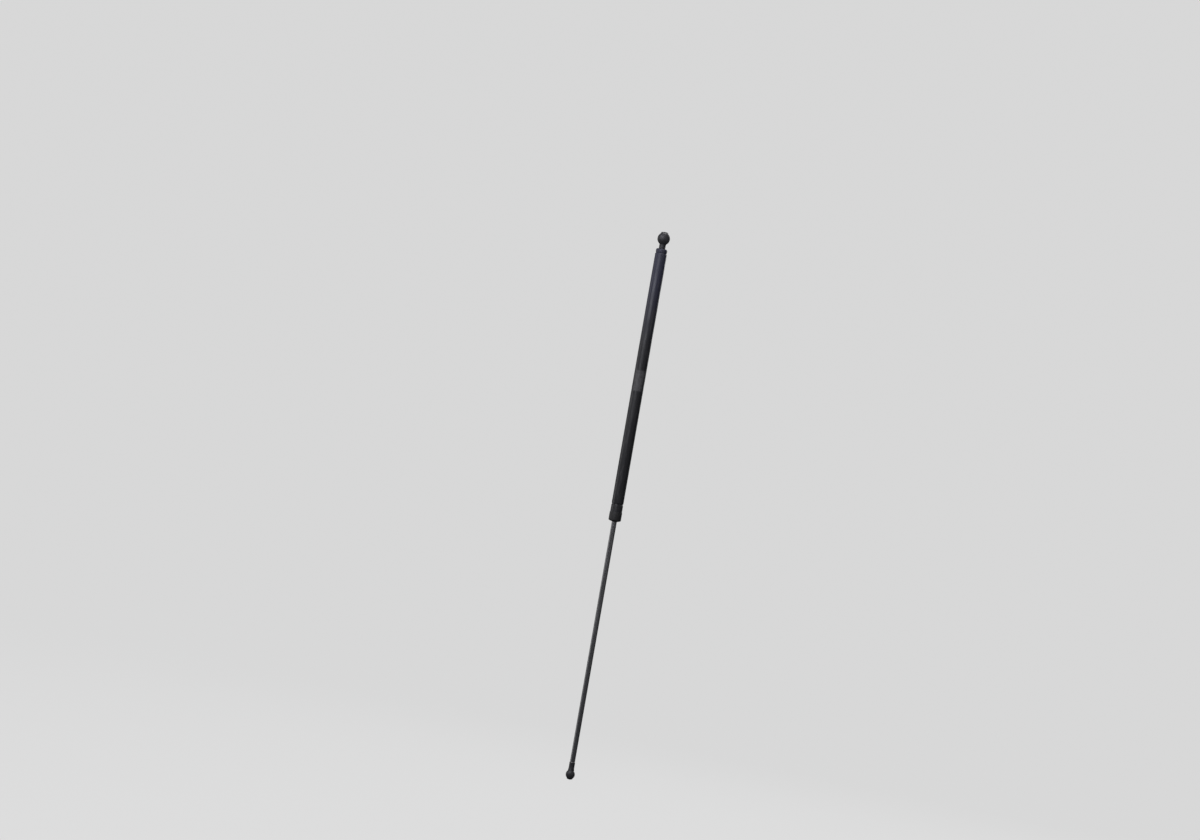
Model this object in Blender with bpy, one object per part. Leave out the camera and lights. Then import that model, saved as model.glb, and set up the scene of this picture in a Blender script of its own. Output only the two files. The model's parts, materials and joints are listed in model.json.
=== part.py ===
"""A gas strut stay: a pressure tube and a piston rod with a ball joint at each end.

The strut stands along Z with its tube at the top. The upper ball's centre is the origin, and the
studs that bolt to the brackets point along +Y. It is at full length here. Sizes are in millimetres.
"""

import math

import bmesh
import bpy
from mathutils import Matrix, Vector

MM = 0.001
GAP = 0.3  # clearance between pieces that touch
ROUND = 36  # sides of the large turned pieces
SMALL_ROUND = 24  # sides of the small ones
ARC = 4  # steps in a quarter of a turned radius

# The strut at full length. A depth is measured down from the upper ball's centre.
BALL_SPAN = 870.0  # from ball centre to ball centre
TUBE_TOP = 16.3
TUBE_END = 453.7
TUBE_R = 9.5
TUBE_WALL = 1.2
SHOULDER_R = 2.6  # radius of the rolled edge at the closed end
NECK_R = 9.1  # the tube is drawn in a little above the crimp
CRIMP_DEPTH, CRIMP_HALF, CRIMP_SINK = 23.4, 1.5, 0.7  # rolled groove that holds the end plug
BORE_R = TUBE_R - TUBE_WALL
ROD_R = 4.0
SPIGOT_R = 2.95  # M6 ends of the rod
M6_HOLE_R = SPIGOT_R + GAP
M8_R = 3.95
M8_HOLE_R = M8_R + GAP

# The closed end of the tube
PLUG_R = BORE_R - GAP
PLUG_END = 34.0
BOSS_R = 4.85
BOSS_TOP = 16.6
PLUG_STUD_TOP = 8.9
PLUG_RING_DEPTH = 29.0
PLUG_GROOVE_R = 7.1
O_RING_WIRE_R = 0.75
O_RING_R = 7.3
O_GROOVE_R = 6.4
O_GROOVE_HALF = 1.05

# The guide and seal at the rod end, from the outside in
LIP_R = 6.2  # opening in the rolled end of the tube
ROLL_R = 1.8
CAP_R = 10.1
CAP_TOP = 444.0
CAP_EDGE = 457.4
CAP_EDGE_R = 1.6
CAP_NOSE = 459.4
CAP_NOSE_R = 5.0
CAP_BORE_R = 4.3
WIPER_R = 6.3
WIPER_TOP, WIPER_END = 454.3, 456.8
GUIDE_TOP, GUIDE_END = 440.0, 452.2
GUIDE_RING_DEPTH = 446.0
SEAL_TOP, SEAL_END = 434.3, 439.7
SEAL_WASHER_TOP, SEAL_WASHER_END = 432.9, 434.0
BEAD_DEPTH, BEAD_HALF, BEAD_SINK = 431.0, 1.6, 0.75  # rolled groove over the seal washer

# The piston on the end of the rod
SHOULDER_DEPTH = 432.9
STOP_TOP, STOP_END, STOP_R = 429.2, 432.6, 6.6
PISTON_TOP, PISTON_END = 417.9, 428.9
PISTON_RING_TOP, PISTON_RING_END = 421.9, 424.9
RING_GROOVE_R = 6.7
PORT_R, PORT_CIRCLE_R, PORTS = 0.6, 5.2, 3
DISC_TOP, DISC_END, DISC_R = 416.9, 417.6, 6.3
NUT_TOP, NUT_END, NUT_ACROSS = 412.6, 416.6, 10.0
ROD_TOP = 411.6
SHANK_DEPTH = BALL_SPAN - 20.0  # top of the lower socket's shank
ROD_END = SHANK_DEPTH + 10.7

# The two ball joints. In each, y runs along the stud, from the ball's centre to the bracket.
UPPER_JOINT = {
    "ball_r": 6.5,
    "cavity_r": 6.75,
    "head_r": 10.0,
    "back_y": -8.4,
    "rim_y": 6.6,
    "ring_wire_r": 0.55,
    "ring_y": 2.9,
    "clip_wire_r": 0.6,
    "clip_x": 5.5,
    "neck_r": 3.4,
    "flange_y": 10.0,
    "seat_y": 14.0,
    "flange_across": 13.0,
    "thread_r": M8_R,
    "stud_end_y": 29.5,
    "bracket": 3.0,
    "washer_r": 8.0,
    "washer": 1.6,
    "nut_across": 13.0,
    "nut": 6.5,
    "shank_r": 5.25,
    "flare_r": 5.7,
    "flare_end": 9.6,
    "shank_end": 16.2,
    "hole_r": M8_HOLE_R,
    "hole_end": 8.4,
}
LOWER_JOINT = {
    "ball_r": 5.0,
    "cavity_r": 5.22,
    "head_r": 7.3,
    "back_y": -6.6,
    "rim_y": 5.2,
    "ring_wire_r": 0.45,
    "ring_y": 2.15,
    "clip_wire_r": 0.5,
    "clip_x": 4.3,
    "neck_r": 2.6,
    "flange_y": 8.0,
    "seat_y": 11.2,
    "flange_across": 11.0,
    "thread_r": SPIGOT_R,
    "stud_end_y": 24.5,
    "bracket": 3.0,
    "washer_r": 6.0,
    "washer": 1.6,
    "nut_across": 10.0,
    "nut": 5.0,
    "shank_r": 4.5,
    "flare_r": 5.1,
    "flare_end": 11.0,
    "shank_end": 20.0,
    "hole_r": M6_HOLE_R,
    "hole_end": 8.5,
}
RING_CLEARANCE = 0.12  # between the snap ring and the ball
DOME_START_Y = -2.5  # where the closed side of a socket's head begins to round over
CLIP_CLEARANCE = 0.15  # between the safety clip's legs and the ball
BOW_CLEARANCE = 0.35  # between the clip's bow and the head
SNAP_RING_TURN = math.radians(326)  # how much of a full turn the split snap ring fills

AXIS_Z = Matrix.Identity(3)
AXIS_Y = Matrix.Rotation(math.radians(-90), 3, "X")  # turns a piece's Z to the studs' +Y


def clear_scene():
    for obj in list(bpy.data.objects):
        bpy.data.objects.remove(obj, do_unlink=True)


def material(name, colour, roughness, metallic):
    made = bpy.data.materials.new(name)
    made.use_nodes = True
    shader = made.node_tree.nodes["Principled BSDF"]
    shader.inputs["Base Color"].default_value = (*colour, 1.0)
    shader.inputs["Roughness"].default_value = roughness
    shader.inputs["Metallic"].default_value = metallic
    return made


def make_materials():
    return {
        "black_paint": material("black_paint", (0.030, 0.029, 0.036), 0.45, 0.0),
        "dark_rod": material("dark_rod", (0.150, 0.150, 0.156), 0.28, 0.85),
        "black_steel": material("black_steel", (0.050, 0.049, 0.053), 0.45, 0.4),
        "zinc_steel": material("zinc_steel", (0.55, 0.56, 0.58), 0.32, 1.0),
        "spring_steel": material("spring_steel", (0.22, 0.22, 0.23), 0.35, 1.0),
        "cap_plastic": material("cap_plastic", (0.022, 0.022, 0.023), 0.55, 0.0),
        "guide_plastic": material("guide_plastic", (0.75, 0.74, 0.68), 0.5, 0.0),
        "rubber": material("rubber", (0.012, 0.012, 0.012), 0.7, 0.0),
        "felt": material("felt", (0.35, 0.34, 0.31), 0.95, 0.0),
        "sintered_iron": material("sintered_iron", (0.16, 0.155, 0.15), 0.6, 0.8),
    }


def empty(name, depth, parent=None):
    """A frame on the strut's axis, this far below the upper ball's centre."""
    made = bpy.data.objects.new(name, None)
    bpy.context.collection.objects.link(made)
    made.empty_display_size = 0.01
    if parent:
        made.parent = parent
        depth += parent.matrix_world.translation.z / MM
    made.location = (0, 0, -depth * MM)
    bpy.context.view_layer.update()
    return made


def add_object(name, mesh, slot=None, parent=None):
    made = bpy.data.objects.new(name, mesh)
    bpy.context.collection.objects.link(made)
    made.parent = parent
    if slot:
        made.data.materials.append(slot)
    return made


def finish_mesh(name, bm):
    bmesh.ops.recalc_face_normals(bm, faces=bm.faces)
    mesh = bpy.data.meshes.new(name)
    bm.to_mesh(mesh)
    bm.free()
    mesh.shade_smooth()
    mesh.set_sharp_from_angle(angle=math.radians(32))
    return mesh


def turned_mesh(name, profile, turn=AXIS_Z, sides=SMALL_ROUND):
    """A solid of revolution. The profile's (radius, height) points run down its outer side; it
    starts and ends on the axis, or it is a closed ring with a hole."""
    bm = bmesh.new()
    rows = []
    for radius, height in profile:
        count = sides if radius > 0 else 1
        row = []
        for i in range(count):
            angle = 2 * math.pi * i / sides
            point = Vector((radius * math.cos(angle), radius * math.sin(angle), height))
            row.append(bm.verts.new(turn @ (point * MM)))
        rows.append(row)
    pairs = list(zip(rows, rows[1:]))
    if profile[0][0] > 0:
        pairs.append((rows[-1], rows[0]))
    for above, below in pairs:
        for i in range(sides):
            j = (i + 1) % sides
            corners = [above[i % len(above)], below[i % len(below)]]
            corners += [below[j % len(below)], above[j % len(above)]]
            bm.faces.new(list(dict.fromkeys(corners)))
    return finish_mesh(name, bm)


def turned(name, profile, slot, parent, turn=AXIS_Z, sides=SMALL_ROUND):
    return add_object(name, turned_mesh(name, profile, turn, sides), slot, parent)


def arc(centre, radius, start, end, steps=ARC):
    """Points of an arc between two angles in degrees, both ends included."""
    angles = [math.radians(start + (end - start) * i / steps) for i in range(steps + 1)]
    return [(centre[0] + radius * math.cos(a), centre[1] + radius * math.sin(a)) for a in angles]


def sleeve(inner, outer, top, bottom, chamfer=0.3):
    """The profile of a plain ring with broken outer edges."""
    return [
        (inner, top),
        (outer - chamfer, top),
        (outer, top - chamfer),
        (outer, bottom + chamfer),
        (outer - chamfer, bottom),
        (inner, bottom),
    ]


def helper(name, mesh, parent):
    """A cutter or a tool piece for a Boolean, which isn't part of the object."""
    made = add_object(name, mesh, parent=parent)
    made.hide_render = True
    made.display_type = "WIRE"
    return made


def combine(target, tool, operation):
    step = target.modifiers.new(f"{operation.lower()}_{tool.name}", "BOOLEAN")
    step.operation = operation
    step.solver = "EXACT"
    step.object = tool


def box_mesh(name, low, high):
    bm = bmesh.new()
    bmesh.ops.create_cube(bm, size=1)
    low, high = Vector(low) * MM, Vector(high) * MM
    bmesh.ops.scale(bm, vec=high - low, verts=bm.verts)
    bmesh.ops.translate(bm, vec=(low + high) / 2, verts=bm.verts)
    return finish_mesh(name, bm)


def hexagon_mesh(name, across, low, high, turn):
    """A hexagonal prism with a flat on each side, between two heights along its axis."""
    bm = bmesh.new()
    radius = across / 2 / math.cos(math.radians(30)) * MM
    bmesh.ops.create_cone(
        bm, cap_ends=True, segments=6, radius1=radius, radius2=radius, depth=(high - low) * MM
    )
    bmesh.ops.translate(bm, vec=(0, 0, (low + high) / 2 * MM), verts=bm.verts)
    bmesh.ops.transform(bm, matrix=turn.to_4x4(), verts=bm.verts)
    return finish_mesh(name, bm)


def chamfer_blank(across, low, high):
    """The turned blank that rounds off a nut's corners at both its ends."""
    corner = across / 2 / math.cos(math.radians(30)) + 0.2
    flat = across / 2 - 0.15
    drop = (corner - flat) * math.tan(math.radians(30))
    top = [(0, high), (flat, high), (corner, high - drop)]
    return top + [(corner, low + drop), (flat, low), (0, low)]


def nut(name, across, low, high, hole_r, slot, parent, turn):
    made = add_object(name, hexagon_mesh(name, across, low, high, turn), slot, parent)
    blank = turned_mesh(name, chamfer_blank(across, low, high), turn)
    combine(made, helper(f"{name}_blank", blank, parent), "INTERSECT")
    hole = turned_mesh(name, [(0, high + 1), (hole_r, high + 1), (hole_r, low - 1), (0, low - 1)], turn)
    combine(made, helper(f"{name}_hole", hole, parent), "DIFFERENCE")
    return made


def bent_wire(name, points, radius, slot, parent):
    """A piece of round wire through these points."""
    curve = bpy.data.curves.new(name, "CURVE")
    curve.dimensions = "3D"
    curve.bevel_depth = radius * MM
    curve.bevel_resolution = 2
    curve.use_fill_caps = True
    spline = curve.splines.new("POLY")
    spline.points.add(len(points) - 1)
    for place, point in zip(spline.points, points):
        place.co = (*(Vector(point) * MM), 1)
    return add_object(name, curve, slot, parent)


def ring_radius(joint):
    """The snap ring's own radius, which rests it on the ball beyond the ball's widest place."""
    reach = joint["ball_r"] + joint["ring_wire_r"] + RING_CLEARANCE
    return math.sqrt(reach**2 - joint["ring_y"] ** 2)


def clip_y(joint):
    """How far behind the ball's centre the safety clip's legs pass."""
    reach = joint["ball_r"] + joint["clip_wire_r"] + CLIP_CLEARANCE
    return math.sqrt(reach**2 - joint["clip_x"] ** 2)


def rolled_groove(depth, half, sink, above, below):
    """A groove rolled into the tube, top to bottom, with the tube's radius above and below it."""
    points = []
    for i in range(ARC + 1):
        angle = math.pi * i / ARC
        radius = above + (below - above) * i / ARC - sink * math.sin(angle)
        points.append((radius, -depth + half * math.cos(angle)))
    return points


def make_tube(slot, parent):
    shoulder = (NECK_R - SHOULDER_R, -TUBE_TOP - SHOULDER_R)
    mouth = BOSS_R + GAP
    crimp = rolled_groove(CRIMP_DEPTH, CRIMP_HALF, CRIMP_SINK, NECK_R, TUBE_R)
    bead = rolled_groove(BEAD_DEPTH, BEAD_HALF, BEAD_SINK, TUBE_R, TUBE_R)
    roll = (TUBE_R - ROLL_R, -TUBE_END + ROLL_R)
    profile = [(mouth, -TUBE_TOP)] + arc(shoulder, SHOULDER_R, 90, 0) + crimp + bead
    profile += arc(roll, ROLL_R, 0, -90)
    profile += [(LIP_R, -TUBE_END), (LIP_R, -TUBE_END + TUBE_WALL)]
    profile += arc(roll, ROLL_R - TUBE_WALL, -90, 0, 2)
    profile += [(radius - TUBE_WALL, height) for radius, height in reversed(crimp + bead)]
    profile += arc(shoulder, SHOULDER_R - TUBE_WALL, 0, 90, 2) + [(mouth, -TUBE_TOP - TUBE_WALL)]
    return turned("pressure_tube", profile, slot, parent, sides=ROUND)


def o_groove(depth, outer):
    """An O-ring groove in the side of a turned piece, top to bottom."""
    return [
        (outer, -depth + O_GROOVE_HALF),
        (O_GROOVE_R, -depth + O_GROOVE_HALF),
        (O_GROOVE_R, -depth - O_GROOVE_HALF),
        (outer, -depth - O_GROOVE_HALF),
    ]


def make_end_plug(slot, parent):
    shoulder = (NECK_R - SHOULDER_R, -TUBE_TOP - SHOULDER_R)
    crown_r = SHOULDER_R - TUBE_WALL - GAP
    groove_half = CRIMP_HALF + GAP
    profile = [(0, -PLUG_STUD_TOP), (M8_R - 0.7, -PLUG_STUD_TOP), (M8_R, -PLUG_STUD_TOP - 0.7)]
    profile += [(M8_R, -BOSS_TOP), (BOSS_R, -BOSS_TOP), (BOSS_R, shoulder[1] + crown_r)]
    profile += arc(shoulder, crown_r, 90, 0, 2)
    profile += [
        (NECK_R - TUBE_WALL - GAP, -CRIMP_DEPTH + groove_half),
        (PLUG_GROOVE_R, -CRIMP_DEPTH + groove_half - 0.6),
        (PLUG_GROOVE_R, -CRIMP_DEPTH - groove_half + 0.6),
        (PLUG_R, -CRIMP_DEPTH - groove_half - 0.2),
    ]
    profile += o_groove(PLUG_RING_DEPTH, PLUG_R)
    profile += [(PLUG_R, -PLUG_END + 0.5), (PLUG_R - 0.5, -PLUG_END), (0, -PLUG_END)]
    return turned("end_plug", profile, slot, parent)


def make_o_ring(name, depth, slot, parent):
    return turned(name, arc((O_RING_R, -depth), O_RING_WIRE_R, 90, -225, 7), slot, parent)


def make_rod_guide(slot, parent):
    profile = [(ROD_R + 0.2, -GUIDE_TOP), (PLUG_R - 0.4, -GUIDE_TOP), (PLUG_R, -GUIDE_TOP - 0.4)]
    profile += o_groove(GUIDE_RING_DEPTH, PLUG_R)
    profile += [(PLUG_R, -GUIDE_END + ROLL_R), (LIP_R + 0.8, -GUIDE_END), (ROD_R + 0.2, -GUIDE_END)]
    return turned("rod_guide", profile, slot, parent)


def make_rod_seal(slot, parent):
    """A lip seal, whose open side faces the gas."""
    middle = (ROD_R + PLUG_R) / 2
    profile = [
        (ROD_R + 0.15, -SEAL_TOP),
        (middle - 0.9, -SEAL_TOP),
        (middle - 0.3, -SEAL_TOP - 2.8),
        (middle + 0.3, -SEAL_TOP - 2.8),
        (middle + 0.9, -SEAL_TOP),
        (PLUG_R, -SEAL_TOP),
        (PLUG_R, -SEAL_END),
        (ROD_R + 0.15, -SEAL_END),
    ]
    return turned("rod_seal", profile, slot, parent)


def make_dust_cap(slot, parent):
    skirt_r, floor = TUBE_R + 0.2, TUBE_END + GAP
    pocket_r, pocket_end = WIPER_R + 0.2, WIPER_END + GAP
    profile = [(skirt_r, -CAP_TOP), (CAP_R - 0.3, -CAP_TOP), (CAP_R, -CAP_TOP - 0.4)]
    profile += arc((CAP_R - CAP_EDGE_R, -CAP_EDGE + CAP_EDGE_R), CAP_EDGE_R, 0, -90, 3)
    profile += [(CAP_NOSE_R, -CAP_NOSE), (CAP_BORE_R, -CAP_NOSE), (CAP_BORE_R, -pocket_end)]
    profile += [(pocket_r, -pocket_end), (pocket_r, -floor), (skirt_r, -floor)]
    return turned("dust_cap", profile, slot, parent, sides=ROUND)


def make_rod(slot, parent):
    """Placed below its parent, which sits at the piston."""
    profile = [(0, -ROD_TOP), (SPIGOT_R - 0.5, -ROD_TOP), (SPIGOT_R, -ROD_TOP - 0.5)]
    profile += [(SPIGOT_R, -SHOULDER_DEPTH), (ROD_R, -SHOULDER_DEPTH)]
    profile += [(ROD_R, -SHANK_DEPTH + GAP + 0.4), (ROD_R - 0.4, -SHANK_DEPTH + GAP)]
    profile += [(SPIGOT_R, -SHANK_DEPTH + GAP), (SPIGOT_R, -ROD_END + 0.5)]
    profile += [(SPIGOT_R - 0.5, -ROD_END), (0, -ROD_END)]
    return turned("piston_rod", profile, slot, parent)


def make_piston(slot, parent):
    groove_top, groove_end = PISTON_RING_TOP - GAP, PISTON_RING_END + GAP
    profile = [(M6_HOLE_R, -PISTON_TOP), (PLUG_R - 0.4, -PISTON_TOP), (PLUG_R, -PISTON_TOP - 0.4)]
    profile += [(PLUG_R, -groove_top), (RING_GROOVE_R, -groove_top)]
    profile += [(RING_GROOVE_R, -groove_end), (PLUG_R, -groove_end)]
    profile += [(PLUG_R, -PISTON_END + 0.4), (PLUG_R - 0.4, -PISTON_END), (M6_HOLE_R, -PISTON_END)]
    made = turned("piston", profile, slot, parent)
    for i in range(PORTS):
        angle = 2 * math.pi * i / PORTS
        above, below = 1 - PISTON_TOP, -1 - PISTON_END
        port = [(0, above), (PORT_R, above), (PORT_R, below), (0, below)]
        cutter = helper(f"piston_port_{i + 1}", turned_mesh("port", port, sides=8), parent)
        cutter.location = (
            PORT_CIRCLE_R * math.cos(angle) * MM,
            PORT_CIRCLE_R * math.sin(angle) * MM,
            0,
        )
        combine(made, cutter, "DIFFERENCE")
    return made


def make_socket(name, joint, outward, slot, parent):
    """A ball socket that opens towards +Y. Its shank runs against outward, which is 1 where the
    strut is below the ball and -1 where it is above."""
    head_r, back, rim, cavity_r = (joint[k] for k in ("head_r", "back_y", "rim_y", "cavity_r"))
    head = [(0, rim), (head_r - 0.5, rim), (head_r, rim - 0.5)]
    for i in range(ARC + 2):
        angle = math.pi / 2 * i / (ARC + 2)
        dome = DOME_START_Y + (back - DOME_START_Y) * math.sin(angle)
        head.append((head_r * math.cos(angle), dome))
    head.append((0, back))
    made = add_object(name, turned_mesh(name, head, AXIS_Y, ROUND), slot, parent)

    shank_r, flare_r = joint["shank_r"], joint["flare_r"]
    start, flare_end, end = cavity_r - 1.0, joint["flare_end"], joint["shank_end"]
    shank = [(0, -start), (flare_r, -start), (flare_r, -head_r * 0.8), (shank_r, -flare_end)]
    shank += [(shank_r, -end + 0.4), (shank_r - 0.4, -end), (0, -end)]
    hole = [(0, -joint["hole_end"]), (joint["hole_r"], -joint["hole_end"]), (joint["hole_r"], -end - 1)]
    hole += [(0, -end - 1)]
    groove_half = joint["ring_wire_r"] + 0.25
    groove_r = ring_radius(joint) + groove_half
    ring_y = joint["ring_y"]
    cavity = [(0, rim + 1), (cavity_r, rim + 1), (cavity_r, ring_y + groove_half)]
    cavity += [(groove_r, ring_y + groove_half), (groove_r, ring_y - groove_half)]
    cavity += [(cavity_r, ring_y - groove_half)] + arc((0, 0), cavity_r, 0, -90, 8)
    cavity[-1] = (0, -cavity_r)
    way = Matrix.Identity(3) if outward > 0 else Matrix.Rotation(math.pi, 3, "X")
    ends = sorted((-outward * (end + 1), outward * (head_r + 1)))
    front = box_mesh(name, (-head_r, rim, ends[0]), (head_r, rim + head_r, ends[1]))

    combine(made, helper(f"{name}_shank", turned_mesh(name, shank, way), parent), "UNION")
    combine(made, helper(f"{name}_cavity", turned_mesh(name, cavity, AXIS_Y), parent), "DIFFERENCE")
    combine(made, helper(f"{name}_thread", turned_mesh(name, hole, way), parent), "DIFFERENCE")
    combine(made, helper(f"{name}_front", front, parent), "DIFFERENCE")
    half = joint["clip_wire_r"] + 0.14
    for side in (-1, 1):
        x, y = side * joint["clip_x"], clip_y(joint)
        ends = sorted((-outward * 0.86 * head_r, outward * (head_r + 1)))
        slot_mesh = box_mesh(name, (x - half, y - half, ends[0]), (x + half, y + half, ends[1]))
        label = "left" if side < 0 else "right"
        combine(made, helper(f"{name}_slot_{label}", slot_mesh, parent), "DIFFERENCE")
    return made


def make_snap_ring(name, joint, slot, parent):
    """A split ring round the ball, with its split towards the shank."""
    radius, steps = ring_radius(joint), 24
    points = []
    for i in range(steps + 1):
        angle = SNAP_RING_TURN * (i / steps - 0.5)
        points.append((radius * math.sin(angle), joint["ring_y"], radius * math.cos(angle)))
    return bent_wire(name, points, joint["ring_wire_r"], slot, parent)


def make_clip(name, joint, outward, slot, parent):
    """A safety clip: two straight legs behind the ball, and a bow over the end of the head."""
    x, y = joint["clip_x"], clip_y(joint)
    bow_r = joint["head_r"] + joint["clip_wire_r"] + BOW_CLEARANCE
    corner = math.acos(x / bow_r)
    bend = 1.5 * joint["clip_wire_r"] / bow_r  # angle that each rounded corner takes up
    arc_points, steps = [], 10
    for i in range(steps + 1):
        angle = corner + bend + (math.pi - 2 * corner - 2 * bend) * i / steps
        arc_points.append((bow_r * math.cos(angle), bow_r * math.sin(angle)))
    knee = (x, bow_r * math.sin(corner))
    before = (x, knee[1] - bow_r * bend)
    eased = (
        (before[0] + 2 * knee[0] + arc_points[0][0]) / 4,
        (before[1] + 2 * knee[1] + arc_points[0][1]) / 4,
    )
    half = [(x, -0.76 * joint["head_r"]), before, eased]
    outline = half + arc_points + [(-px, pz) for px, pz in reversed(half)]
    points = [(px, y, outward * pz) for px, pz in outline]
    return bent_wire(name, points, joint["clip_wire_r"], slot, parent)


def make_ball_stud(name, joint, slot, parent):
    ball_r, neck_r = joint["ball_r"], joint["neck_r"]
    thread_r, end, seat, flange = (joint[k] for k in ("thread_r", "stud_end_y", "seat_y", "flange_y"))
    leave = math.degrees(math.acos(neck_r / ball_r))
    profile = [(0, end), (thread_r - 0.8, end), (thread_r, end - 0.8), (thread_r, seat - 1)]
    profile += [(neck_r + 1.2, seat - 1), (neck_r + 1.2, flange), (neck_r, flange - 1.2)]
    profile += arc((0, 0), ball_r, leave, -90, 12)
    profile[-1] = (0, -ball_r)
    made = turned(name, profile, slot, parent, AXIS_Y)
    across = joint["flange_across"]
    flange_mesh = hexagon_mesh(name, across, flange, seat, AXIS_Y)
    prism = helper(f"{name}_flange", flange_mesh, parent)
    combine(made, prism, "UNION")
    return made


def make_fasteners(prefix, joint, slot, parent):
    hole_r = joint["thread_r"] + GAP
    low = joint["seat_y"] + joint["bracket"] + GAP
    washer = sleeve(hole_r, joint["washer_r"], low + joint["washer"], low, 0.2)
    turned(f"{prefix}_stud_washer", washer, slot, parent, AXIS_Y)
    low += joint["washer"] + GAP
    high = low + joint["nut"]
    nut(f"{prefix}_stud_nut", joint["nut_across"], low, high, hole_r, slot, parent, AXIS_Y)


def make_cylinder(slots, parent):
    make_tube(slots["black_paint"], parent)
    make_end_plug(slots["zinc_steel"], parent)
    make_o_ring("plug_o_ring", PLUG_RING_DEPTH, slots["rubber"], parent)
    make_socket("upper_socket", UPPER_JOINT, 1, slots["black_steel"], parent)
    make_rod_guide(slots["guide_plastic"], parent)
    make_o_ring("guide_o_ring", GUIDE_RING_DEPTH, slots["rubber"], parent)
    make_rod_seal(slots["rubber"], parent)
    washer = sleeve(CAP_BORE_R, PLUG_R, -SEAL_WASHER_TOP, -SEAL_WASHER_END, 0.2)
    turned("seal_washer", washer, slots["zinc_steel"], parent)
    wiper = sleeve(ROD_R + 0.2, WIPER_R, -WIPER_TOP, -WIPER_END)
    turned("wiper_ring", wiper, slots["felt"], parent)
    make_dust_cap(slots["cap_plastic"], parent)


def make_rod_group(slots, axis):
    """The rod with the piston on its top, hung from an empty at the piston."""
    holder = empty("rod_group", 0, axis)
    make_rod(slots["dark_rod"], holder)
    stop = sleeve(M6_HOLE_R, STOP_R, -STOP_TOP, -STOP_END)
    turned("stop_washer", stop, slots["zinc_steel"], holder)
    make_piston(slots["sintered_iron"], holder)
    disc = sleeve(M6_HOLE_R, DISC_R, -DISC_TOP, -DISC_END, 0.15)
    turned("orifice_disc", disc, slots["spring_steel"], holder)
    nut(
        "piston_nut", NUT_ACROSS, -NUT_END, -NUT_TOP, M6_HOLE_R, slots["zinc_steel"], holder, AXIS_Z
    )


def main():
    clear_scene()
    slots = make_materials()

    upper = empty("upper_ball_centre", 0)
    make_ball_stud("upper_ball_stud", UPPER_JOINT, slots["zinc_steel"], upper)
    make_fasteners("upper", UPPER_JOINT, slots["zinc_steel"], upper)
    make_snap_ring("upper_snap_ring", UPPER_JOINT, slots["spring_steel"], upper)
    make_cylinder(slots, upper)
    make_clip("upper_clip", UPPER_JOINT, 1, slots["spring_steel"], upper)

    piston_axis = empty("piston_axis", PISTON_RING_TOP, upper)
    ring = sleeve(RING_GROOVE_R + GAP, BORE_R - 0.15, -PISTON_RING_TOP, -PISTON_RING_END)
    ring = [(radius, height + PISTON_RING_TOP) for radius, height in ring]
    turned("piston_ring", ring, slots["guide_plastic"], piston_axis)
    make_rod_group(slots, piston_axis)

    lower = empty("lower_ball_centre", BALL_SPAN, piston_axis)
    make_socket("lower_socket", LOWER_JOINT, -1, slots["black_steel"], lower)
    make_clip("lower_clip", LOWER_JOINT, -1, slots["spring_steel"], lower)
    make_snap_ring("lower_snap_ring", LOWER_JOINT, slots["spring_steel"], lower)
    make_ball_stud("lower_ball_stud", LOWER_JOINT, slots["zinc_steel"], lower)
    make_fasteners("lower", LOWER_JOINT, slots["zinc_steel"], lower)


main()
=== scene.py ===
"""The looks of the gas strut stay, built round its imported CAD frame.

Each piece that shows is turned, threaded, forged or bent here in full detail and stands in for its
plain CAD node. The pieces shut inside the tube keep their CAD shape and get a finish. Every place
and outer size is read from the frame. Sizes are in millimetres unless a name says otherwise.
"""

import json
import math

import bpy
import numpy as np
from mathutils import Matrix, Vector


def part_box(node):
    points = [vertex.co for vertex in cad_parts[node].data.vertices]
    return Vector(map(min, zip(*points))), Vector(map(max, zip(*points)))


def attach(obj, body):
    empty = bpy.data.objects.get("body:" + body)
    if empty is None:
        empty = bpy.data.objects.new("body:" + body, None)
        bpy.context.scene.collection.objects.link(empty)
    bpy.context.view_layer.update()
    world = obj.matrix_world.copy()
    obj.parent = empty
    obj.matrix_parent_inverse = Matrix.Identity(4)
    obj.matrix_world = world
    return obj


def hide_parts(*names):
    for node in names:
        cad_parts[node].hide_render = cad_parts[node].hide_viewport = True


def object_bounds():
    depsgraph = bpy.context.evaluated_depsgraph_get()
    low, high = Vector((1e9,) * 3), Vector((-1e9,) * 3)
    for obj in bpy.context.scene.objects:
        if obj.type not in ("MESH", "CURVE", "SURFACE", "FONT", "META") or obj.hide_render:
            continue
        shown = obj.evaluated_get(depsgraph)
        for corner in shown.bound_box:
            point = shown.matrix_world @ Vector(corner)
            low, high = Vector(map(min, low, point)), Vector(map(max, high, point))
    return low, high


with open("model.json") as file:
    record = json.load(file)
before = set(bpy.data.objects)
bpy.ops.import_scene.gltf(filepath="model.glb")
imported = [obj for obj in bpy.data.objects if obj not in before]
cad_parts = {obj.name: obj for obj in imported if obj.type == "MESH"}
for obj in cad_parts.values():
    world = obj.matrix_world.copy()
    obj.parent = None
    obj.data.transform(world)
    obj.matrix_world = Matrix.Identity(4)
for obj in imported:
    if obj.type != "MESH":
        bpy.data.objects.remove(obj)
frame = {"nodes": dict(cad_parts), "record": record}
cad_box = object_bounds()

MM = 0.001
AXIS_Z = Matrix.Identity(3)
AXIS_Y = Matrix.Rotation(math.radians(-90), 3, "X")  # turns a piece's own Z to the studs' +Y
FINE, COARSE = 120, 72  # sides of the turned pieces, and of the rod, which is long and thin
FILLET_STEPS = 5
DOME_STEPS = 18  # rings from a socket's widest line to the middle of its dome
SEAT_STEPS = 12  # rings down the seat that the ball sits in
BALL_STEPS = 40  # rings down a stud's ball

# Threads: rings along each pitch, their depth as a share of it, and the slope and start of a flank
THREAD_STEPS = 10
THREAD_DEPTH = 0.6
FLANK_SLOPE, ROOT_FLAT = 2.9, 0.25

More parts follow.
